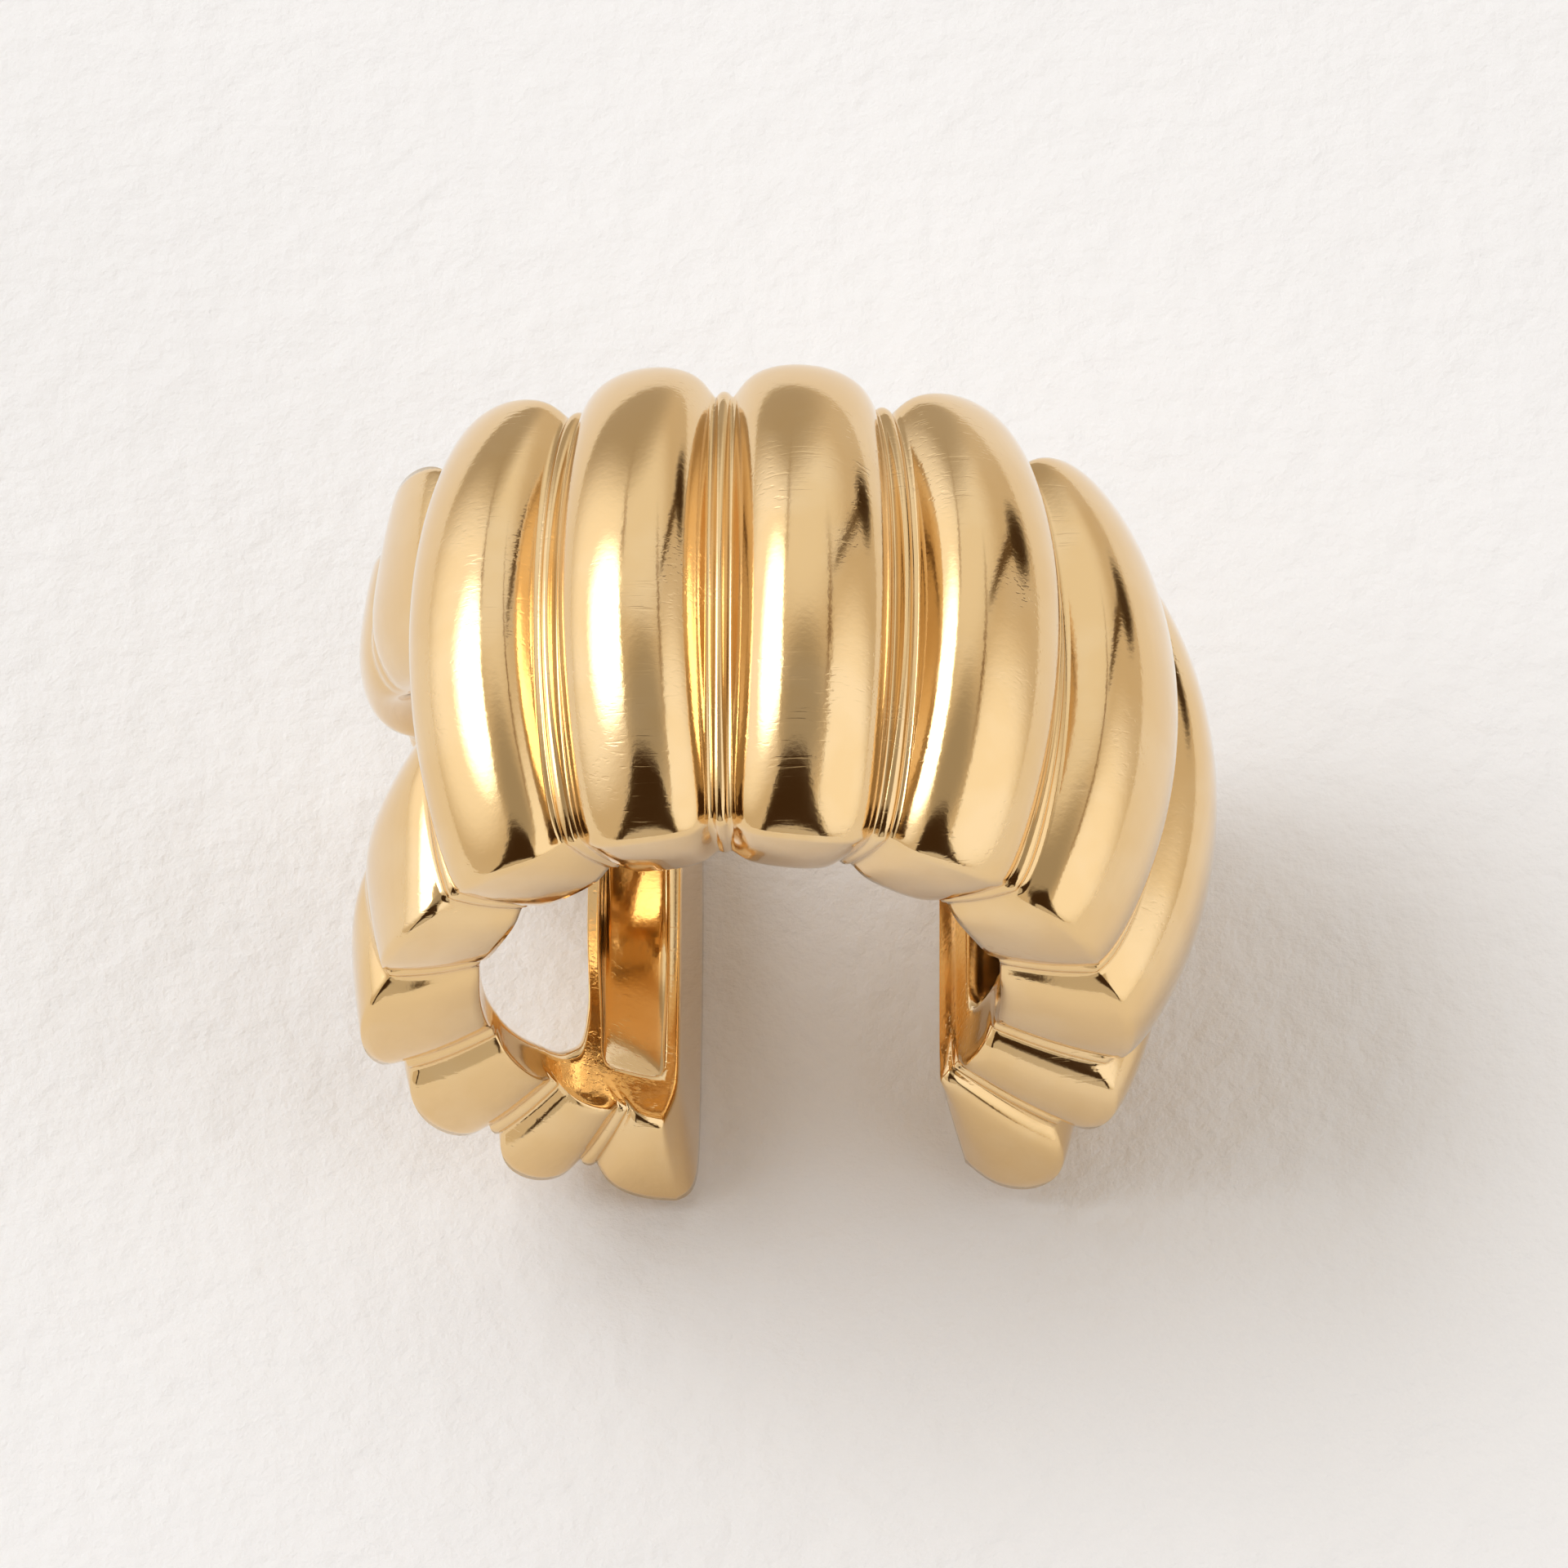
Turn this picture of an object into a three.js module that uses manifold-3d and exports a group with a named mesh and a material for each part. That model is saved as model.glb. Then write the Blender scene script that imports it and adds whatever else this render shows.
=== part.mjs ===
// Ribbed clip-on hoop earring, the left one of a pair, cast in one piece with a hollowed back.
// Millimetres, +Z up. The hoop's axis runs along Y. The plain front leg is at +X and the pierced
// back leg at -X, and the hoop stands on its two leg ends with the ear-lobe gap between them.
import * as THREE from "three";
import { mergeVertices } from "three/addons/utils/BufferGeometryUtils.js";
import Module from "manifold-3d";

const wasm = await Module();
wasm.setup();

// Angles round the hoop are in degrees from the top, positive towards the front leg. A row is one
// rib, from the groove where the row before it stops to the groove at stop. Its radii are measured
// from the hoop's axis: the crest halfway along the rib and at its ends, and the groove after it,
// also halfway along and at its ends. half is half the rib's length, and innerHalf is half the
// band's width at its inner edge.
const bandStart = -179;
const ribs = [
  { stop: -151.5, crest: 7.85, crestEnd: 7.45, groove: 7.5, grooveEnd: 7.2, half: 5.6, innerHalf: 4.95 },
  { stop: -133, crest: 8.05, crestEnd: 7.8, groove: 7.6, grooveEnd: 7.25, half: 5.6, innerHalf: 5.0 },
  { stop: -107.5, crest: 8.15, crestEnd: 7.7, groove: 7.7, grooveEnd: 7.25, half: 5.6, innerHalf: 5.0 },
  { stop: -77.5, crest: 8.2, crestEnd: 7.85, groove: 8.0, grooveEnd: 7.25, half: 5.7, innerHalf: 4.9 },
  { stop: -51, crest: 8.2, crestEnd: 7.8, groove: 8.0, grooveEnd: 7.3, half: 5.7, innerHalf: 5.0 },
  { stop: -25.5, crest: 9.65, crestEnd: 7.9, groove: 8.45, grooveEnd: 7.3, half: 5.7, innerHalf: 5.0 },
  { stop: -1, crest: 9.85, crestEnd: 7.75, groove: 8.45, grooveEnd: 7.3, half: 5.7, innerHalf: 5.0 },
  { stop: 25, crest: 9.85, crestEnd: 7.75, groove: 8.45, grooveEnd: 7.3, half: 5.7, innerHalf: 5.0 },
  { stop: 51, crest: 9.85, crestEnd: 8.0, groove: 8.45, grooveEnd: 7.3, half: 5.7, innerHalf: 5.0 },
  { stop: 81, crest: 9.95, crestEnd: 8.2, groove: 8.6, grooveEnd: 7.4, half: 5.7, innerHalf: 5.0 },
  { stop: 109.5, crest: 9.95, crestEnd: 8.4, groove: 8.7, grooveEnd: 7.8, half: 5.7, innerHalf: 5.0 },
  { stop: 127, crest: 9.75, crestEnd: 8.7, groove: 8.7, grooveEnd: 8.0, half: 5.7, innerHalf: 5.0 },
  { stop: 151, crest: 9.5, crestEnd: 9.1, groove: 8.45, grooveEnd: 8.0, half: 5.65, innerHalf: 4.9 },
];

const grooveHalf = 5.07; // half the band's width in the grooves
const grooveInnerHalf = 4.67; // the same at the band's inner edge
const innerRadius = { crest: 5.36, groove: 5.48 };
const grooveFloor = 0.3; // width of a groove's flat floor
const ribSteps = 8; // facets across a rib
const domeSteps = 6; // facets from a rib's middle to its end
const domePower = 0.7; // shape of a rib's dome along its length, 0.5 being an ellipse
const sideSteps = 2; // facets down the band's side face
const sidePower = 1.6; // how late the side face draws in towards its inner edge

// The hollow in the back of the band runs from the shoulder over the top to the end of the front leg.
const hollow = { start: -45, stop: 121, half: 3.65, floor: 7.0, corner: 0.5, endHalf: 2.9 };
const hollowSteps = 26;
// The cross piece at the foot of the back leg has a shallow pocket with upright walls.
const pocket = { x: -2.5, z: -5.9, width: 1.3, length: 7.4, height: 2.5 };

// The opening through the back leg, from the foot up to its point: half its width on the band's outer
// face and on its inner face at each angle. Its sides slope between the two radii given in openingWall.
const opening = [
  { angle: -132, outer: 3.0, inner: 4.05 },
  { angle: -120, outer: 2.9, inner: 4.1 },
  { angle: -107, outer: 2.6, inner: 4.1 },
  { angle: -97, outer: 2.3, inner: 4.0 },
  { angle: -86, outer: 1.9, inner: 3.6 },
  { angle: -75, outer: 1.5, inner: 3.0 },
  { angle: -66, outer: 1.1, inner: 2.3 },
  { angle: -59, outer: 0.75, inner: 1.5 },
  { angle: -54, outer: 0.45, inner: 0.8 },
  { angle: -51.5, outer: 0.3, inner: 0.4 },
];
const openingWall = { from: 5.5, to: 7.4 };
// The opening stops at the foot on a nearly upright wall through the point at x and z.
const footWall = { x: -3.51, z: -4.1, lean: -12, outer: 2.6, inner: 3.4 };
const cutterRadii = { inside: 4.8, outside: 10.6 };

// The flat pads that face each other across the gap. A pad passes through the point at x and z, and
// lean is how far it turns from upright, in degrees, so that its foot is further towards +X.
const pads = {
  back: { x: -1.5, z: -5.2, lean: 9, side: 1 },
  front: { x: 4.0, z: -3.6, lean: 9, side: -1 },
};
const padCutter = { thickness: 5, width: 13, height: 14 };

const brass = { color: 0xd9b36a, roughness: 0.16, metalness: 1 };

const rad = THREE.MathUtils.degToRad;
const mix = THREE.MathUtils.lerp;

// A point at an angle round the hoop, a place across the band and a radius from the axis.
function ringPoint(angle, y, radius) {
  return new THREE.Vector3(radius * Math.sin(rad(angle)), y, radius * Math.cos(rad(angle)));
}

// The radii and half widths of the groove that follows a rib.
function grooveOf(rib) {
  return {
    middle: rib.groove,
    end: rib.grooveEnd,
    half: grooveHalf,
    inner: innerRadius.groove,
    innerHalf: Math.min(grooveInnerHalf, rib.innerHalf),
  };
}

// The same along the rib's crest.
function crestOf(rib) {
  return {
    middle: rib.crest,
    end: rib.crestEnd,
    half: rib.half,
    inner: innerRadius.crest,
    innerHalf: rib.innerHalf,
  };
}

function blend(from, to, amount) {
  return Object.fromEntries(Object.keys(from).map((key) => [key, mix(from[key], to[key], amount)]));
}

// Where the facets of the dome meet, from -1 to 1 across the band, with one facet level in the middle.
function domeStations() {
  const stations = [];
  for (let i = -domeSteps; i < domeSteps; i += 1) {
    stations.push(Math.sin(((i + 0.5) / domeSteps) * (Math.PI / 2)));
  }
  return stations;
}

// One closed outline across the band: over the dome from -Y to +Y, down the side face, and back.
function bandSection(angle, shape) {
  const outline = [];
  for (const across of [-1, ...domeStations(), 1]) {
    const rise = Math.pow(1 - across * across, domePower);
    outline.push([across * shape.half, mix(shape.end, shape.middle, rise)]);
  }
  const side = [];
  for (let i = 1; i <= sideSteps; i += 1) {
    const down = i / sideSteps;
    const y = mix(shape.half, shape.innerHalf, Math.pow(down, sidePower));
    side.push([y, mix(shape.end, shape.inner, down)]);
  }
  outline.push(...side);
  outline.push(...side.reverse().map(([y, radius]) => [-y, radius]));
  return outline.map(([y, radius]) => ringPoint(angle, y, radius));
}

// The outlines of the whole band: each rib is half an ellipse that stands on its two grooves.
function bandSections() {
  const sections = [];
  ribs.forEach((rib, index) => {
    const before = grooveOf(ribs[Math.max(0, index - 1)]);
    const after = grooveOf(rib);
    const crest = crestOf(rib);
    const floor = THREE.MathUtils.radToDeg(grooveFloor / 2 / rib.crest);
    const start = index === 0 ? bandStart : ribs[index - 1].stop;
    const centre = (start + rib.stop) / 2;
    const reach = (rib.stop - start) / 2 - floor;
    for (let i = 0; i <= ribSteps; i += 1) {
      const turn = (i / ribSteps) * Math.PI;
      const angle = centre - Math.cos(turn) * reach;
      const groove = i < ribSteps / 2 ? before : after;
      sections.push(bandSection(angle, blend(groove, crest, Math.sin(turn))));
    }
  });
  return sections;
}

// A closed solid through a row of outlines that all have the same number of points.
function loft(sections) {
  const count = sections[0].length;
  const positions = sections.flat().flatMap((point) => point.toArray());
  const faces = [];
  for (let i = 0; i + 1 < sections.length; i += 1) {
    for (let j = 0; j < count; j += 1) {
      const next = (j + 1) % count;
      const a = i * count + j;
      const b = i * count + next;
      faces.push(a, b + count, b, a, a + count, b + count);
    }
  }
  for (const [section, start, flip] of [
    [sections[0], 0, false],
    [sections.at(-1), (sections.length - 1) * count, true],
  ]) {
    const middle = new THREE.Vector3();
    section.forEach((point) => middle.addScaledVector(point, 1 / count));
    const centre = positions.length / 3;
    positions.push(...middle.toArray());
    for (let j = 0; j < count; j += 1) {
      const next = (j + 1) % count;
      faces.push(centre, start + (flip ? next : j), start + (flip ? j : next));
    }
  }
  const geometry = new THREE.BufferGeometry();
  geometry.setAttribute("position", new THREE.Float32BufferAttribute(positions, 3));
  geometry.setIndex(faces);
  return geometry;
}

function toSolid(geometry) {
  const bare = geometry.clone();
  bare.deleteAttribute("normal");
  bare.deleteAttribute("uv");
  const merged = mergeVertices(bare, 1e-5);
  return new wasm.Manifold(
    new wasm.Mesh({
      numProp: 3,
      vertProperties: new Float32Array(merged.attributes.position.array),
      triVerts: new Uint32Array(merged.index.array),
    }),
  );
}

function toGeometry(solid) {
  const mesh = solid.getMesh();
  const geometry = new THREE.BufferGeometry();
  geometry.setAttribute("position", new THREE.BufferAttribute(mesh.vertProperties, 3));
  geometry.setIndex(new THREE.BufferAttribute(mesh.triVerts, 1));
  return geometry;
}

// A trough that follows the band, open on the inside, with its floor corners broken.
function trough(shape, steps) {
  const sections = [];
  for (let i = 0; i <= steps; i += 1) {
    const along = i / steps;
    const half = along === 0 || along === 1 ? shape.endHalf : shape.half;
    const outline = [
      [-half, cutterRadii.inside],
      [-half, shape.floor - shape.corner],
      [-half + shape.corner, shape.floor],
      [half - shape.corner, shape.floor],
      [half, shape.floor - shape.corner],
      [half, cutterRadii.inside],
    ];
    const angle = mix(shape.start, shape.stop, along);
    sections.push(outline.map(([y, radius]) => ringPoint(angle, y, radius)));
  }
  return loft(sections);
}

// The angle at which a leaning wall through x and z in the back leg crosses a circle about the axis.
function wallAngle(wall, radius) {
  const lean = rad(wall.lean);
  const offset = wall.x * Math.cos(lean) + wall.z * Math.sin(lean);
  return -180 - THREE.MathUtils.radToDeg(Math.asin(offset / radius)) - wall.lean;
}

// The cutter for the opening, which is followed round the hoop from the wall at the foot.
function openingCutter() {
  const outline = ({ outer, inner }) => [
    [-inner, cutterRadii.inside],
    [-inner, openingWall.from],
    [-outer, openingWall.to],
    [-outer, cutterRadii.outside],
    [outer, cutterRadii.outside],
    [outer, openingWall.to],
    [inner, openingWall.from],
    [inner, cutterRadii.inside],
  ];
  const foot = outline(footWall).map(([y, radius]) => ringPoint(wallAngle(footWall, radius), y, radius));
  return loft([
    foot,
    ...opening.map((row) => outline(row).map(([y, radius]) => ringPoint(row.angle, y, radius))),
  ]);
}

// The block that sinks the pocket into the cross piece.
function pocketBlock() {
  const block = new THREE.BoxGeometry(pocket.width, pocket.length, pocket.height);
  return block.translate(pocket.x, 0, pocket.z + pocket.height / 2);
}

// The block that trims a leg end to its flat pad.
function padBlock(pad) {
  const block = new THREE.BoxGeometry(padCutter.thickness, padCutter.width, padCutter.height);
  block.translate((pad.side * padCutter.thickness) / 2, 0, -padCutter.height / 4);
  block.rotateY(-rad(pad.lean));
  block.translate(pad.x, 0, pad.z);
  return block;
}

function castBody() {
  const cutters = [
    trough(hollow, hollowSteps),
    pocketBlock(),
    openingCutter(),
    padBlock(pads.back),
    padBlock(pads.front),
  ];
  const band = toSolid(loft(bandSections()));
  return toGeometry(cutters.reduce((solid, cutter) => solid.subtract(toSolid(cutter)), band));
}

const geometry = castBody();
geometry.computeBoundingBox();
const { min, max } = geometry.boundingBox;
geometry.translate(-(min.x + max.x) / 2, -(min.y + max.y) / 2, -min.z);

const hoop = new THREE.Mesh(geometry, new THREE.MeshStandardMaterial(brass));
hoop.name = "hoop_body";

const earring = new THREE.Group();
earring.add(hoop);

export default earring;
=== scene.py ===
import math
import bmesh
import bpy
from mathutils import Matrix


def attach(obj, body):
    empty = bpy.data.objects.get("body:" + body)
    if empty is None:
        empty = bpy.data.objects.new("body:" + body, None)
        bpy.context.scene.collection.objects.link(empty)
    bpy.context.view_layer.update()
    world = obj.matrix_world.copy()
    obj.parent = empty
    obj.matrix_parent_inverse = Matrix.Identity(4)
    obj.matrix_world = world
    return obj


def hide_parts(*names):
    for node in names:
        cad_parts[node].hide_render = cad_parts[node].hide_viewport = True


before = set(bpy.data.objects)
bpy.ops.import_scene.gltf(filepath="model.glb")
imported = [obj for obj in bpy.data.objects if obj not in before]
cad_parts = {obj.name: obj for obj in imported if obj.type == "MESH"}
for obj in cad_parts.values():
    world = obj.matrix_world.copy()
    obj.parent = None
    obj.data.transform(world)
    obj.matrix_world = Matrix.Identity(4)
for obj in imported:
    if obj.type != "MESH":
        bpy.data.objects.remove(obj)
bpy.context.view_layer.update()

# ---------------------------------------------------------------------------------------------
# Hoop body: the whole earring. A wide C-shaped band with thirteen rounded ribs, a hollowed back
# and a tear-shaped window through its back leg is cast in brass in one piece. It is plated in
# pale yellow gold and buffed to a mirror.
# ---------------------------------------------------------------------------------------------
MM = 0.001  # sizes are given in millimetres and become metres when the piece is done
HOOP_AXIS = (-0.866, 0.0, 7.703)  # where the hoop's axis runs, from the middle of what it stands on

# Angles go round the hoop in degrees from the top, positive towards the front leg. A row is one
# rib, up to the groove at stop. Its radii from the axis are the crest's, halfway along the rib and
# at its ends, and the next groove's, in the same two places. half is half the rib's length, and
# back_half half the band's width at its inner edge.
BAND_START = -179
RIBS = [
    dict(stop=-151.5, crest=7.82, crest_end=7.45, groove=7.5, groove_end=7.2, half=5.6, back_half=4.95),
    dict(stop=-133, crest=8.05, crest_end=7.8, groove=7.6, groove_end=7.25, half=5.6, back_half=5.0),
    dict(stop=-107.5, crest=8.15, crest_end=7.7, groove=7.7, groove_end=7.25, half=5.6, back_half=5.0),
    dict(stop=-77.5, crest=8.2, crest_end=7.85, groove=8.0, groove_end=7.25, half=5.7, back_half=4.9),
    dict(stop=-51, crest=8.2, crest_end=7.8, groove=8.0, groove_end=7.3, half=5.7, back_half=5.0),
    dict(stop=-25.5, crest=9.65, crest_end=7.9, groove=8.45, groove_end=7.3, half=5.7, back_half=5.0),
    dict(stop=-1, crest=9.85, crest_end=7.75, groove=8.45, groove_end=7.3, half=5.7, back_half=5.0),
    dict(stop=25, crest=9.85, crest_end=7.75, groove=8.45, groove_end=7.3, half=5.7, back_half=5.0),
    dict(stop=51, crest=9.85, crest_end=7.88, groove=8.45, groove_end=7.3, half=5.7, back_half=5.0),
    dict(stop=79.5, crest=9.78, crest_end=7.9, groove=8.7, groove_end=7.4, half=5.7, back_half=5.0),
    dict(stop=107.5, crest=9.95, crest_end=8.1, groove=9.0, groove_end=7.8, half=5.7, back_half=5.0),
    dict(stop=127, crest=9.75, crest_end=8.5, groove=8.7, groove_end=8.0, half=5.7, back_half=5.0),
    dict(stop=151, crest=9.9, crest_end=9.1, groove=8.45, groove_end=8.0, half=5.65, back_half=4.9),
]
GROOVE_HALF = 5.07  # half the band's width in a groove
GROOVE_BACK_HALF = 4.67  # the same at the band's inner edge
BACK_RADIUS = 5.4  # of that inner edge
BACK_SCALLOP = 0.05  # how far the inner edge moves in at a crest and out at a groove
BEAD_WIDTH = 0.22  # of the thin bead that lies in each groove

# A rib's section, from its crest down to the channel beside it and up onto the bead: shares of
# half the rib's width and of its height over the groove. RIB_STEPS counts the steps across a rib.
RIB_PROFILE = ((0.0, 1.0), (0.39, 0.93), (0.74, 0.66), (0.935, 0.0), (1.0, 0.22))
RIB_STEPS = 8
DOME_POWER = 0.8  # how late a crest rises from its two ends, 0.5 being an ellipse
GROOVE_POWER = 0.6  # the same for a groove
END_POWER = 1.5  # how much narrower a rib is at its two ends
SIDE_POWER = 1.6  # how late the side face draws in towards its inner edge

# The two pads: a pad passes through the point at x and z and leans by PAD_LEAN degrees from
# upright. The back pad's two ends are turned back, by so many degrees on each of its last lines.
PAD_LEAN = 9
BACK_PAD = (-1.5, -5.2)
FRONT_PAD = (4.0, -3.6)
BACK_PAD_TURNED = {5: 1.0, 6: 3.5}
BACK_FOOT_STEP = 3  # the rib at each foot is cut off by its pad near this step across the rib
FRONT_FOOT_STEP = 7

# Where the lines along the band stand, from its middle to its edge: on the front as shares of half
# its width, and on its back and on the cross piece's back in millimetres. The line numbered
# HOLLOW_LINE is the hollow's wall. DOWN_STEPS counts the steps from the front to the back.
FRONT_LINES = (0.0, 0.26, 0.5, 0.71, 0.87, 0.965, 1.0)
BACK_LINES = (0.0, 0.95, 1.9, 2.8, 3.65, 4.25)
FOOT_LINES = (0.0, 1.1, 2.2, 3.2, 3.85, 4.25)
HOLLOW_LINE = 4
EDGE_LINE = 6
DOWN_STEPS = 3

# The window in the back leg. A row is an angle, half the window's width on the front of the band
# and on its back, and how far the front is rounded down at the window's edge.
WINDOW = [
    (-149.4, 2.6, 3.4, 0.2), (-142.0, 2.9, 3.9, 0.25), (-132.0, 3.0, 4.05, 0.3), (-120.0, 2.9, 4.1, 0.3),
    (-107.0, 2.6, 4.1, 0.3), (-97.0, 2.3, 4.0, 0.35), (-86.0, 1.9, 3.6, 0.45), (-75.0, 1.35, 3.0, 0.65),
    (-66.0, 0.85, 2.3, 0.8), (-59.0, 0.5, 1.5, 0.8), (-54.0, 0.3, 0.8, 0.7), (-50.0, 0.25, 0.4, 0.5),
]
WINDOW_LINE = 2  # the line along its edge
WINDOW_SHARES = (0.0, 0.5, 1.0)  # where the lines as far as that one stand across half the window
STRIP_SHARES = (0.3, 0.58, 0.85)  # and those past it across the strip beside the window

# The cross piece below the window has upright walls. So the band's back is turned up there by
# BACK_TURN degrees and its front down by FRONT_TURN, and both by less and less as far as the
# angle UPRIGHT_TO, the front the faster. The shares of a turn go from the middle to the edge.
BACK_TURN = 9.4
BACK_TURNED = (1.0, 1.0, 0.9, 0.85, 0.85, 0.45, 0.0)
FRONT_TURN = 6.0
FRONT_TURNED = (1.0, 1.0, 0.85, 0.4, 0.1, 0.0, 0.0)
UPRIGHT_TO = -107.5
FOOT_SHARES = (1.0, 0.87, 0.6, 0.3, 0.09, 0.0)  # where its rows stand on the back, from the pad up

HOLLOW = dict(first=-47, last=121, floor=7.0)  # the angles where it ends, and its floor's radius
POCKET_DEPTH = 1.5  # of the scoop in the cross piece's back
POCKET_SHARES = (1.0, 0.86, 0.55, 0.2, 0.02)  # the share of that depth on each line


def blend(low, high, share):
    """The value a share of the way from low to high."""
    return low + (high - low) * share


def window_at(angle):
    """The window's two half widths and its rounding at an angle, and None where the band is whole."""
    for (low, *row), (high, *next_row) in zip(WINDOW, WINDOW[1:]):
        if low <= angle <= high:
            share = (angle - low) / (high - low)
            return [blend(value, next_value, share) for value, next_value in zip(row, next_row)]
    return None


def pad_angle(pad, radius, side):
    """The angle at which a pad's plane crosses a circle about the hoop's axis, as far as side."""
    lean = math.radians(PAD_LEAN)
    offset = pad[0] * math.cos(lean) + pad[1] * math.sin(lean)
    return side * (180 - math.degrees(math.asin(side * offset / radius))) - PAD_LEAN


def rib_stations():
    """The angle of each section, its rib, the groove on its side and its share of the rib's height."""
    stations = []
    start = BAND_START
    for number, rib in enumerate(RIBS):
        centre = (start + rib["stop"]) / 2
        reach = (rib["stop"] - start) / 2 - math.degrees(BEAD_WIDTH / 2 / rib["crest"])
        before = RIBS[max(0, number - 1)]
        for step in range(RIB_STEPS + 1):
            past_crest = step - RIB_STEPS // 2
            across, height = RIB_PROFILE[abs(past_crest)]
            groove = before if past_crest < 0 else rib
            stations.append((centre + math.copysign(across, past_crest) * reach, rib, groove, height))
        start = rib["stop"]
    return stations[BACK_FOOT_STEP:len(stations) - (RIB_STEPS - FRONT_FOOT_STEP)]


def section_points(angle, rib, groove, height):
    """How far across and from the axis a section's points are, by their line and step down."""
    half = blend(GROOVE_HALF, rib["half"], height)
    back_half = blend(min(GROOVE_BACK_HALF, rib["back_half"]), rib["back_half"], height)
    edge_radius = BACK_RADIUS + blend(BACK_SCALLOP, -BACK_SCALLOP, height)
    front = [share * half for share in FRONT_LINES]
    back = [*(FOOT_LINES if angle < WINDOW[0][0] else BACK_LINES), back_half]
    window = window_at(angle)
    rounding = 0
    if window is not None:
        *insides, rounding = window
        front, back = [
            [share * inside for share in WINDOW_SHARES]
            + [blend(inside, outside, share) for share in STRIP_SHARES] + [outside]
            for inside, outside in zip(insides, (half, back_half))
        ]
    points = {}
    for line in range(EDGE_LINE + 1):
        inward = 1 - (front[line] / half) ** 2
        crest = blend(rib["crest_end"], rib["crest"], inward ** DOME_POWER)
        floor = blend(groove["groove_end"], groove["groove"], inward ** GROOVE_POWER)
        front_radius = blend(floor, crest, height ** blend(END_POWER, 1, inward))
        if line <= WINDOW_LINE:
            front_radius -= rounding
        back_radius = edge_radius if line == EDGE_LINE else BACK_RADIUS
        for down in range(DOWN_STEPS + 1):
            share = down / DOWN_STEPS
            across = blend(front[line], back[line], share ** SIDE_POWER)
            points[line, down] = (across, blend(front_radius, back_radius, share))
    return points


stations = rib_stations()
LAST = len(stations) - 1

# Each foot: its pad, its side of the gap, its last section, and the section in the groove above.
FEET = (
    dict(pad=BACK_PAD, side=-1, station=0, groove=RIB_STEPS - BACK_FOOT_STEP),
    dict(pad=FRONT_PAD, side=1, station=LAST, groove=LAST - FRONT_FOOT_STEP),
)


def turned_place(station, line, down):
    """The angle at which a point stands, with upright walls at the window's foot and flat pads."""
    angle = stations[station][0]
    depth = down / DOWN_STEPS

    def upright(front_angle):
        share = max(0, (UPRIGHT_TO - front_angle) / (UPRIGHT_TO - WINDOW[0][0]))
        turn = blend(-FRONT_TURN * share * FRONT_TURNED[line], BACK_TURN * BACK_TURNED[line], depth)
        return front_angle + share * turn

    for foot in FEET:
        if (station - foot["groove"]) * foot["side"] < 0:
            continue
        groove_angle = stations[foot["groove"]][0]
        last_angle = stations[foot["station"]][0]
        radius = section_points(*stations[foot["station"]])[line, down][1]
        cut = pad_angle(foot["pad"], radius, foot["side"])
        share = (angle - groove_angle) / (last_angle - groove_angle)
        if foot["side"] < 0:
            cut += BACK_PAD_TURNED.get(line, 0)
            share = blend(share, FOOT_SHARES[station], depth * BACK_TURNED[line])
        return blend(upright(groove_angle), cut, share)
    return upright(angle)


# One flat section is spun into a plain C-shaped band, with a unit between its lines and between
# its steps, so that each vertex can be told by its place.
SPUN_STEP = 3.0  # degrees from section to section of the plain band
bpy.ops.object.select_all(action="DESELECT")
bpy.ops.mesh.primitive_grid_add(
    x_subdivisions=2 * EDGE_LINE, y_subdivisions=DOWN_STEPS, size=1, rotation=(math.pi / 2, 0, math.pi / 2)
)
hoop = bpy.context.object
hoop.name = hoop.data.name = "hoop"
bpy.ops.object.transform_apply(location=False, rotation=True, scale=False)
bpy.ops.object.mode_set(mode="EDIT")
bpy.ops.mesh.select_all(action="SELECT")
bpy.ops.transform.resize(value=(1, 2 * EDGE_LINE, DOWN_STEPS))
bpy.ops.transform.translate(value=(0, 0, BACK_RADIUS + DOWN_STEPS / 2))
bpy.ops.mesh.spin(steps=LAST, angle=-math.radians(SPUN_STEP * LAST), center=(0, 0, 0), axis=(0, 1, 0))

mesh = bmesh.from_edit_mesh(hoop.data)
marks = {name: mesh.verts.layers.int.new(name) for name in ("station", "line", "down")}


def mark_vertices():
    """Marks each vertex of the plain band with the section, the line and the step down it is on."""
    for vertex in mesh.verts:
        turned = (math.degrees(math.atan2(vertex.co.x, vertex.co.z)) + SPUN_STEP / 2) % 360
        vertex[marks["station"]] = int(turned / SPUN_STEP)
        vertex[marks["line"]] = round(vertex.co.y)
        radius = math.hypot(vertex.co.x, vertex.co.z)
        vertex[marks["down"]] = DOWN_STEPS - round(radius - BACK_RADIUS)


def marked(vertex):
    """The section, the line and the step down that a vertex was marked with."""
    return tuple(vertex[marks[name]] for name in ("station", "line", "down"))


def pick(kind, test):
    """Selects the vertices, edges or faces whose vertices all pass a test of their marks."""
    bpy.ops.mesh.select_mode(type=kind)
    bpy.ops.mesh.select_all(action="DESELECT")
    for part in dict(VERT=mesh.verts, EDGE=mesh.edges, FACE=mesh.faces)[kind]:
        corners = [part] if kind == "VERT" else part.verts
        if all(test(*marked(vertex)) for vertex in corners):
            part.select_set(True)


def station_at(angle):
    """The number of the section nearest to an angle."""
    return min(range(LAST + 1), key=lambda number: abs(stations[number][0] - angle))


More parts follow.
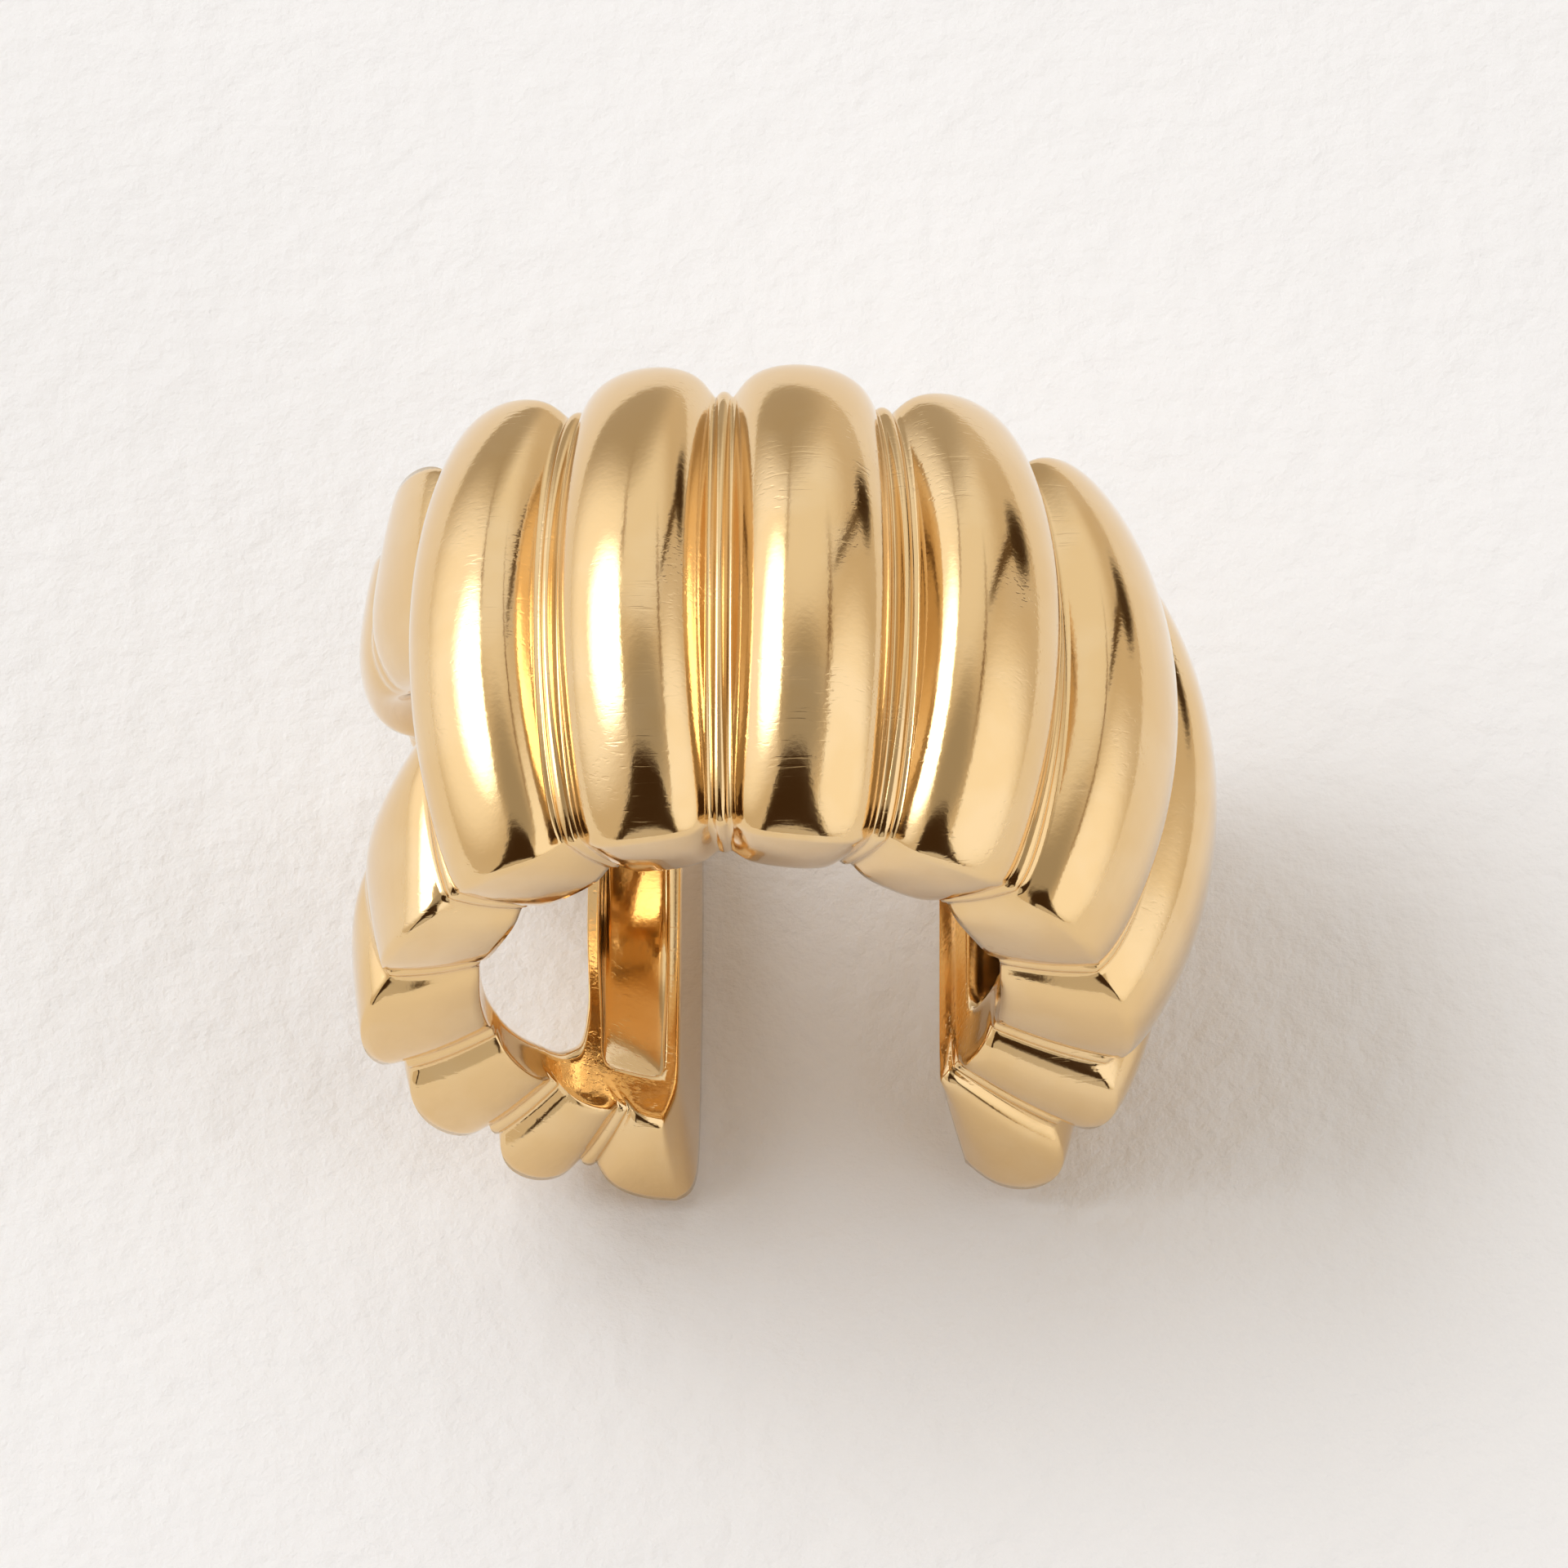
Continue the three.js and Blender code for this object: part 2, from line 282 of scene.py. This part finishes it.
# The window is opened through the plain band, and its front and back edges are joined by a wall.
mark_vertices()
window_first, window_last = station_at(WINDOW[0][0]), station_at(WINDOW[-1][0])
pick("FACE", lambda station, line, down: (
    down in (0, DOWN_STEPS) and abs(line) <= WINDOW_LINE and window_first <= station <= window_last
))
bpy.ops.mesh.delete(type="FACE")
mesh = bmesh.from_edit_mesh(hoop.data)
bpy.ops.mesh.select_mode(type="EDGE")
bpy.ops.mesh.select_all(action="DESELECT")
for edge in mesh.edges:
    edge.select_set(edge.is_boundary)
bpy.ops.mesh.bridge_edge_loops(number_cuts=DOWN_STEPS - 1, interpolation="LINEAR")
mesh = bmesh.from_edit_mesh(hoop.data)
marks = {name: mesh.verts.layers.int[name] for name in marks}
mark_vertices()

# Each vertex is drawn to its place in the hoop together with its mirror image across the band.
pairs = {}
for vertex in mesh.verts:
    station, line, down = marked(vertex)
    pairs.setdefault((station, abs(line), down), []).append(vertex)
bpy.ops.mesh.select_mode(type="VERT")
bpy.ops.mesh.select_all(action="DESELECT")
for station, (angle, rib, groove, height) in enumerate(stations):
    points = section_points(angle, rib, groove, height)
    for (line, down), (across, radius) in points.items():
        pair = pairs.get((station, line, down))
        if not pair:
            continue
        place = turned_place(station, line, down)
        for vertex in pair:
            vertex.select_set(True)
        sample = pair[0].co
        now = math.atan2(sample.x, sample.z)
        turn = (math.radians(place) - now + math.pi) % (2 * math.pi) - math.pi
        bpy.ops.transform.rotate(value=-turn, orient_axis="Y", center_override=(0, 0, 0))
        out = radius / math.hypot(sample.x, sample.z)
        wide = across / abs(sample.y) if line else 1
        bpy.ops.transform.resize(value=(out, wide, out), center_override=(0, 0, 0))
        for vertex in pair:
            vertex.select_set(False)

# The hollow and the pocket are sunk into the back of the band.
FLOOR = DOWN_STEPS + 1  # the mark of what is sunk below the inner edge
hollow_ends = (station_at(HOLLOW["first"]), station_at(HOLLOW["last"]))
pocket_ends = (1, RIB_STEPS - BACK_FOOT_STEP - 1)
for first, last in (hollow_ends, pocket_ends):
    pick("FACE", lambda station, line, down: (
        down == DOWN_STEPS and abs(line) <= HOLLOW_LINE and first <= station <= last
    ))
    bpy.ops.mesh.extrude_region_move()
    mesh = bmesh.from_edit_mesh(hoop.data)
    for vertex in mesh.verts:
        if vertex.select:
            vertex[marks["down"]] = FLOOR
pick("VERT", lambda station, line, down: down == FLOOR and station >= hollow_ends[0])
sink = HOLLOW["floor"] / BACK_RADIUS
bpy.ops.transform.resize(value=(sink, 1, sink), center_override=(0, 0, 0))
for number, share in enumerate(POCKET_SHARES):
    pick("VERT", lambda station, line, down: (
        down == FLOOR and abs(line) == number and station <= pocket_ends[1]
    ))
    bpy.ops.transform.translate(value=(0, 0, -POCKET_DEPTH * share))

# Edges that the casting has crisp and the polishing only just rounds: 1 would leave them sharp.
CRISP = dict(edge=0.6, back_edge=0.5, channel=0.5, pad=0.6, rim=0.6, floor=0.4)
SMOOTHING = 2  # how many times its faces are subdivided


def crease(amount, test):
    """Creases the edges whose vertices all pass a test of their marks."""
    pick("EDGE", test)
    bpy.ops.transform.edge_crease(value=amount)


crease(CRISP["edge"], lambda station, line, down: down == 0 and abs(line) == EDGE_LINE)
crease(CRISP["back_edge"], lambda station, line, down: down == DOWN_STEPS and abs(line) == EDGE_LINE)
crease(CRISP["channel"], lambda station, line, down: (
    down == 0 and (station + BACK_FOOT_STEP) % (RIB_STEPS + 1) in (1, RIB_STEPS - 1)
))
for pad_station in (0, LAST):
    crease(CRISP["pad"], lambda station, line, down: (
        station == pad_station and (abs(line) == EDGE_LINE or down in (0, DOWN_STEPS))
    ))
for first, last in (hollow_ends, pocket_ends):
    for level, amount in ((DOWN_STEPS, CRISP["rim"]), (FLOOR, CRISP["floor"])):
        crease(amount, lambda station, line, down: (
            down == level and first <= station <= last and abs(line) == HOLLOW_LINE
        ))
        for end in (first, last):
            crease(amount, lambda station, line, down: (
                down == level and station == end and abs(line) <= HOLLOW_LINE
            ))
bpy.ops.mesh.select_all(action="SELECT")
bpy.ops.mesh.normals_make_consistent(inside=False)
bpy.ops.object.mode_set(mode="OBJECT")

smooth = hoop.modifiers.new("smooth", "SUBSURF")
smooth.levels = smooth.render_levels = SMOOTHING
bpy.ops.object.modifier_apply(modifier=smooth.name)
bpy.ops.object.shade_smooth()
bpy.ops.transform.resize(value=(MM, MM, MM), center_override=(0, 0, 0))
bpy.ops.transform.translate(value=[place * MM for place in HOOP_AXIS])
bpy.ops.object.transform_apply(location=True, rotation=True, scale=True)
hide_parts("hoop_body")
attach(hoop, "root")


def srgb(code):
    """A colour's sRGB hex value as linear light, with full alpha."""
    parts = [int(code[start:start + 2], 16) / 255 for start in (1, 3, 5)]
    return [part / 12.92 if part <= 0.04045 else ((part + 0.055) / 1.055) ** 2.4 for part in parts] + [1]


def add_node(tree, kind, links=(), **settings):
    """Adds a node, sets its sockets and settings by name, and links (from socket, to input) pairs."""
    node = tree.nodes.new(kind)
    for name, value in settings.items():
        if name in node.bl_rna.properties:
            setattr(node, name, value)
        else:
            node.inputs[name.replace("_", " ")].default_value = value
    for source, name in links:
        tree.links.new(source, node.inputs[name])
    return node


def new_material(name):
    """A material with an empty node tree and its output."""
    material = bpy.data.materials.new(name)
    material.use_nodes = True
    tree = material.node_tree
    tree.nodes.clear()
    return material, tree, tree.nodes.new("ShaderNodeOutputMaterial")


# Polished gold plate under a clear lacquer: a mirror that is warm in its mid tones, white in its
# highlights, a little wavy from the buffing wheel and lightly scratched where it has been handled.
# Sizes and depths are in millimetres. least and most are the values of a noise between which the
# waves go from bright to dull, a scratch deepens and the wear that shows the scratches sets in.
GOLD = ("#E9C58B", "#ECCB96")
GOLD_ROUGHNESS = (0.08, 0.14)
LACQUER = dict(weight=0.8, roughness=0.05)
WAVE = dict(size=1.6, depth=0.010, least=0.3, most=0.7)
GRAIN = dict(size=0.12, depth=0.0022)
SCRATCH = dict(length=1.8, width=0.09, depth=0.0016, least=0.70, most=0.78)
SCRATCH_TURNS = ((12, 40, 65), (70, -25, -20), (-35, 10, 110))
WORN = dict(size=2.2, least=0.46, most=0.62)

gold, tree, output = new_material("polished_gold_plate")
place = add_node(tree, "ShaderNodeTexCoord")
in_mm = add_node(
    tree, "ShaderNodeVectorMath", [(place.outputs["Object"], 0)], operation="SCALE", Scale=1 / MM
).outputs["Vector"]
waves = add_node(tree, "ShaderNodeTexNoise", [(in_mm, "Vector")], Scale=1 / WAVE["size"], Detail=1.5)
grain = add_node(tree, "ShaderNodeTexNoise", [(in_mm, "Vector")], Scale=1 / GRAIN["size"], Detail=3.0)
worn = add_node(tree, "ShaderNodeTexNoise", [(in_mm, "Vector")], Scale=1 / WORN["size"], Detail=3.0)
worn = add_node(
    tree, "ShaderNodeMapRange", [(worn.outputs["Fac"], "Value")],
    From_Min=WORN["least"], From_Max=WORN["most"],
).outputs["Result"]

# Scratches run three ways, and show only where the plate is worn.
scratches = None
for turns in SCRATCH_TURNS:
    along = add_node(
        tree, "ShaderNodeMapping", [(in_mm, "Vector")], Rotation=[math.radians(turn) for turn in turns],
        Scale=(1 / SCRATCH["length"], 1 / SCRATCH["width"], 1 / SCRATCH["width"]),
    )
    streak = add_node(
        tree, "ShaderNodeTexNoise", [(along.outputs["Vector"], "Vector")], Scale=1.0, Detail=0.0
    )
    one_way = add_node(
        tree, "ShaderNodeMapRange", [(streak.outputs["Fac"], "Value")],
        From_Min=SCRATCH["least"], From_Max=SCRATCH["most"],
    ).outputs["Result"]
    if scratches is None:
        scratches = one_way
    else:
        both = add_node(tree, "ShaderNodeMath", [(scratches, 0), (one_way, 1)], operation="MAXIMUM")
        scratches = both.outputs["Value"]
scratches = add_node(tree, "ShaderNodeMath", [(scratches, 0), (worn, 1)], operation="MULTIPLY")

uneven = add_node(
    tree, "ShaderNodeBump", [(waves.outputs["Fac"], "Height")], Strength=1.0, Distance=WAVE["depth"] * MM
)
uneven = add_node(
    tree, "ShaderNodeBump", [(grain.outputs["Fac"], "Height"), (uneven.outputs["Normal"], "Normal")],
    Strength=1.0, Distance=GRAIN["depth"] * MM,
)
uneven = add_node(
    tree, "ShaderNodeBump", [(scratches.outputs["Value"], "Height"), (uneven.outputs["Normal"], "Normal")],
    Strength=1.0, Distance=SCRATCH["depth"] * MM, invert=True,
)
buffed = add_node(
    tree, "ShaderNodeMapRange", [(waves.outputs["Fac"], "Value")],
    From_Min=WAVE["least"], From_Max=WAVE["most"], To_Min=GOLD_ROUGHNESS[0], To_Max=GOLD_ROUGHNESS[1],
)
tint = add_node(tree, "ShaderNodeMixRGB", [(worn, "Fac")], Color1=srgb(GOLD[0]), Color2=srgb(GOLD[1]))
shader = add_node(
    tree, "ShaderNodeBsdfPrincipled", [
        (tint.outputs["Color"], "Base Color"), (buffed.outputs["Result"], "Roughness"),
        (uneven.outputs["Normal"], "Normal"),
    ],
    Metallic=1.0, Coat_Weight=LACQUER["weight"], Coat_Roughness=LACQUER["roughness"],
)
tree.links.new(shader.outputs["BSDF"], output.inputs["Surface"])
hoop.data.materials.clear()
hoop.data.materials.append(gold)

# ---------------------------------------------------------------------------------------------
# Table: a sheet of heavy, uncoated paper in warm white, laid flat under the earring. It belongs to
# the studio and not to the object.
# ---------------------------------------------------------------------------------------------
PAPER_SIZE = 800
bpy.ops.mesh.primitive_plane_add(size=PAPER_SIZE * MM)
paper = bpy.context.object
paper.name = "paper"

# Warm white paper with a soft, uneven tooth: matt, and just mottled enough to read as a real sheet.
PAPER = ("#F2F1F0", "#FAF9F8")
PAPER_ROUGHNESS = 0.9
TOOTH = dict(size=1.1, depth=0.14, roughness=0.62)
MOTTLE_SIZE = 14.0

sheet, tree, output = new_material("warm_white_paper")
place = add_node(tree, "ShaderNodeTexCoord")
in_mm = add_node(
    tree, "ShaderNodeVectorMath", [(place.outputs["Object"], 0)], operation="SCALE", Scale=1 / MM
).outputs["Vector"]
tooth = add_node(
    tree, "ShaderNodeTexNoise", [(in_mm, "Vector")],
    Scale=1 / TOOTH["size"], Detail=5.0, Roughness=TOOTH["roughness"],
)
mottle = add_node(tree, "ShaderNodeTexNoise", [(in_mm, "Vector")], Scale=1 / MOTTLE_SIZE, Detail=3.0)
tint = add_node(
    tree, "ShaderNodeMixRGB", [(mottle.outputs["Fac"], "Fac")],
    Color1=srgb(PAPER[0]), Color2=srgb(PAPER[1]),
)
uneven = add_node(
    tree, "ShaderNodeBump", [(tooth.outputs["Fac"], "Height")], Strength=1.0, Distance=TOOTH["depth"] * MM
)
shader = add_node(
    tree, "ShaderNodeBsdfPrincipled",
    [(tint.outputs["Color"], "Base Color"), (uneven.outputs["Normal"], "Normal")],
    Roughness=PAPER_ROUGHNESS,
)
tree.links.new(shader.outputs["BSDF"], output.inputs["Surface"])
paper.data.materials.append(sheet)

# ---------------------------------------------------------------------------------------------
# Studio: a pale room with a large window high on the left, a white reflector on the right and the
# unlit end of the room in front. All of it is far away and soft-edged.
# ---------------------------------------------------------------------------------------------
ROOM = dict(colour="#FFF2DF", strength=0.70)

# A patch of the room is round about its middle, with its full strength as far as full from there
# and none at fades. The patches with edges end there in a straight line. All are in degrees: an
# azimuth, from +X towards +Y, and an angle from straight up, of a middle and of where an edge
# faces. Each patch lies over those before it.
PATCHES = [
    # the back wall, its darker foot, and the ceiling
    dict(middle=(90, 42), full=5, fades=42, colour="#FFFDFB", strength=0.96),
    dict(middle=(105, 80), full=8, fades=36, colour="#FFF2DF", strength=0.48),
    dict(middle=(285, 12), full=0, fades=32, colour="#FFF4E4", strength=0.42),
    # the window and the sky in it, and the reflector
    dict(middle=(160, 52), full=12, fades=52, colour="#FCFCFF", strength=1.25, edges=((180, 111), (138, 90))),
    dict(middle=(160, 37), full=4, fades=28, colour="#FAFCFF", strength=4.6, edges=((180, 111),)),
    dict(middle=(336, 57), full=12, fades=52, colour="#FCFCFF", strength=1.22, edges=((0, 119), (32, 90))),
    # the unlit end of the room, and the pale tabletop in front of it
    dict(middle=(265, 62), full=36, fades=46, colour="#FFC080", strength=0.05, edges=((320, 90), (212, 90))),
    dict(middle=(266, 90), full=26, fades=34, colour="#FFF8EE", strength=0.62, edges=((329, 90), (204, 90))),
    # the shaded stretches of wall beside the reflector and the window
    dict(middle=(45, 62), full=14, fades=27, colour="#FFC890", strength=0.10, edges=((131, 90), (319, 90))),
    dict(middle=(44, 80), full=3, fades=11, colour="#FFC080", strength=0.05),
    dict(middle=(25, 45), full=10, fades=34, colour="#FFC890", strength=0.20, edges=((0, 114), (180, 61))),
    dict(middle=(115, 62), full=18, fades=34, colour="#FFC890", strength=0.25, edges=((0, 68), (180, 107))),
]
EDGE_SOFTNESS = 2.5  # degrees over which a straight edge fades

world = bpy.data.worlds.new("studio")
bpy.context.scene.world = world
world.use_nodes = True
tree = world.node_tree
tree.nodes.clear()


def light_colour(row):
    """A row's colour as linear light at its strength."""
    return [part * row["strength"] for part in srgb(row["colour"])[:3]] + [1]


looking = add_node(tree, "ShaderNodeTexCoord").outputs["Generated"]


def share_towards(place, none_at, full_at):
    """From 1 where the direction looked in is within full_at of a place, to 0 at none_at."""
    azimuth, from_top = (math.radians(turn) for turn in place)
    towards = add_node(tree, "ShaderNodeVectorMath", [(looking, 0)], operation="DOT_PRODUCT")
    towards.inputs[1].default_value = (
        math.sin(from_top) * math.cos(azimuth), math.sin(from_top) * math.sin(azimuth), math.cos(from_top)
    )
    share = add_node(
        tree, "ShaderNodeMapRange", [(towards.outputs["Value"], "Value")], interpolation_type="SMOOTHERSTEP",
        From_Min=math.cos(math.radians(none_at)), From_Max=math.cos(math.radians(full_at)),
    )
    return share.outputs["Result"]


room = add_node(tree, "ShaderNodeRGB")
room.outputs["Color"].default_value = light_colour(ROOM)
lit = room.outputs["Color"]
for patch in PATCHES:
    share = share_towards(patch["middle"], patch["fades"], patch["full"])
    for edge in patch.get("edges", ()):
        inside = share_towards(edge, 90, 90 - EDGE_SOFTNESS)
        share = add_node(tree, "ShaderNodeMath", [(share, 0), (inside, 1)], operation="MULTIPLY")
        share = share.outputs["Value"]
    lit = add_node(tree, "ShaderNodeMixRGB", [(share, "Fac"), (lit, "Color1")], Color2=light_colour(patch))
    lit = lit.outputs["Color"]
sky = add_node(tree, "ShaderNodeBackground", [(lit, "Color")])
add_node(tree, "ShaderNodeOutputWorld", [(sky.outputs["Background"], "Surface")])

# ---------------------------------------------------------------------------------------------
# Camera: a long lens looks down steeply at the front edge of the hoop, from in front of it and a
# little to its right. The view is plain, with no look laid over its colours.
# ---------------------------------------------------------------------------------------------
CAMERA_FROM_AXIS = (9.63, -142.12, 231.07)
CAMERA_TURN = (31.63, 1.98, 0.31)
LENS = 300
SENSOR_WIDTH = 36
CLIP = (10, 10000)

camera_data = bpy.data.cameras.new("camera")
camera_data.lens = LENS
camera_data.sensor_width = SENSOR_WIDTH
camera = bpy.data.objects.new("camera", camera_data)
bpy.context.scene.collection.objects.link(camera)
camera.location = [(axis + offset) * MM for axis, offset in zip(HOOP_AXIS, CAMERA_FROM_AXIS)]
camera.rotation_euler = [math.radians(turn) for turn in CAMERA_TURN]
camera_data.clip_start, camera_data.clip_end = (distance * MM for distance in CLIP)
bpy.context.scene.camera = camera
bpy.context.scene.view_settings.view_transform = "Standard"
